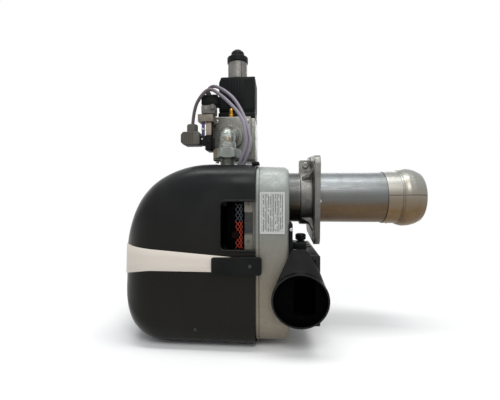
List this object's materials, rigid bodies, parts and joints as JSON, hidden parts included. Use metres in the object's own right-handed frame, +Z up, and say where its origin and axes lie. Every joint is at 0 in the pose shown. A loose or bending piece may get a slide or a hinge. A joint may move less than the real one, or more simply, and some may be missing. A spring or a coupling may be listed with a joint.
{
  "type": "gas burner",
  "caption": "Forced-draught gas burner: flame head on a blast tube with clamp flange, cast fan housing, plastic motor hood, air intake, gas valve with pressure switch.",
  "frame": {"origin": "centre of the boiler side of the flange, on the axis of the blast tube", "axes": "+X along the blast tube towards the flame head, +Y to the back, +Z up"},
  "size_m": [0.4538, 0.2318, 0.4645],
  "materials": {
    "cast_housing": "fine sand-cast, clear",
    "plate_steel": "zinc plated",
    "label_foil": "satin",
    "black_plastic": "satin, moulded",
    "hood_plastic": "satin, fine grain",
    "band_plastic": "satin",
    "tube_steel": "drawn, satin",
    "head_steel": "heat-resisting, satin",
    "flange_cast": "die-cast",
    "motor_paint": "satin",
    "motor_shield": "die-cast",
    "winding": "lacquered",
    "dark_steel": "machined",
    "bright_steel": "plated",
    "red_plastic": "glossy",
    "terminal_plastic": "satin",
    "transformer_resin": "potted",
    "rubber_black": "matte",
    "ceramic_white": "fired",
    "brass": "machined",
    "galvanised": "hot-dip galvanised",
    "valve_cast": "die-cast",
    "brake_paint": "grey",
    "bracket_paint": "beige grey",
    "plug_plastic": "grey brown",
    "clear_grey": "half clear",
    "cable_grey": "satin jacket",
    "cable_violet": "satin jacket"
  },
  "bodies": {
    "casing": {"fan_housing": "cast_housing", "back_plate": "plate_steel", "inlet_ring": "cast_housing", "rating_label": "label_foil", "latch_keepers": "black_plastic", "motor_can": "motor_paint", "motor_stator": "winding", "motor_shield_front": "motor_shield", "motor_shield_rear": "motor_shield", "motor_bearings": "bright_steel", "capacitor_box": "black_plastic", "control_base": "terminal_plastic", "control_box": "black_plastic", "cable_grommets": "rubber_black", "ignition_transformer": "transformer_resin", "air_box": "black_plastic", "air_adapter": "black_plastic", "damper_bush": "black_plastic", "blast_tube": "tube_steel", "flame_head": "head_steel", "tube_screw": "bright_steel", "gas_manifold": "cast_housing", "gas_lance": "brass", "gas_nozzle": "brass", "diffuser": "head_steel", "electrode_ceramics": "ceramic_white", "electrode_rods": "bright_steel", "gas_nipple": "galvanised", "union_nut": "galvanised", "gas_elbow": "galvanised", "valve_body": "valve_cast", "valve_screws": "plate_steel", "coil_plinth": "black_plastic", "coil_box": "black_plastic", "brake_tube": "brake_paint", "brake_collar": "black_plastic", "test_nipple": "brass", "switch_bracket": "bracket_paint", "pressure_switch": "clear_grey", "switch_cover": "black_plastic", "valve_connector": "black_plastic", "valve_plug": "plug_plastic", "link_cable": "cable_violet", "cable_switch": "cable_grey", "cable_plug": "cable_grey"},
    "rotor": {"fan_wheel": "plate_steel", "motor_shaft": "bright_steel", "motor_rotor": "dark_steel"},
    "hood_unit": {"hood": "hood_plastic", "hood_band": "band_plastic", "latch_pins": "dark_steel"},
    "near_latch": {"latch_near": "black_plastic"},
    "far_latch": {"latch_far": "black_plastic"},
    "damper": {"damper_flap": "plate_steel", "damper_knob": "black_plastic"},
    "reset": {"reset_button": "red_plastic"},
    "flange_unit": {"boiler_flange": "flange_cast", "flange_screws": "plate_steel"},
    "brake_setting": {"brake_cap": "black_plastic"},
    "switch_setting": {"switch_dial": "clear_grey"}
  },
  "joints": [
    {"name": "fan_spin", "type": "hinge", "parent": "casing", "child": "rotor", "pos_m": [-0.15, 0, -0.125], "axis": [1, 0, 0], "continuous": true},
    {"name": "hood_slide", "type": "slide", "parent": "casing", "child": "hood_unit", "axis": [-1, 0, 0], "range_m": [0, 0.2]},
    {"name": "near_latch_turn", "type": "hinge", "parent": "hood_unit", "child": "near_latch", "pos_m": [-0.0983, -0.106, -0.0925], "axis": [0, -1, 0], "range_deg": [0, 90]},
    {"name": "far_latch_turn", "type": "hinge", "parent": "hood_unit", "child": "far_latch", "pos_m": [-0.0983, 0.106, -0.0925], "axis": [0, -1, 0], "range_deg": [0, 90]},
    {"name": "damper_turn", "type": "hinge", "parent": "casing", "child": "damper", "pos_m": [-0.028, -0.06, -0.12], "axis": [0, 0, -1], "range_deg": [0, 90]},
    {"name": "reset_press", "type": "slide", "parent": "casing", "child": "reset", "axis": [0, 1, 0], "range_m": [0, 0.003], "stiffness_N_per_m": 400},
    {"name": "flange_slide", "type": "slide", "parent": "casing", "child": "flange_unit", "axis": [-1, 0, 0], "range_m": [0, 0.012]},
    {"name": "brake_turn", "type": "hinge", "parent": "casing", "child": "brake_setting", "pos_m": [-0.13, 0.018, 0.24], "axis": [0, 0, 1], "range_deg": [-150, 150]},
    {"name": "dial_turn", "type": "hinge", "parent": "casing", "child": "switch_setting", "pos_m": [-0.1605, -0.052, 0.1365], "axis": [0, -1, 0], "range_deg": [-135, 135]}
  ]
}
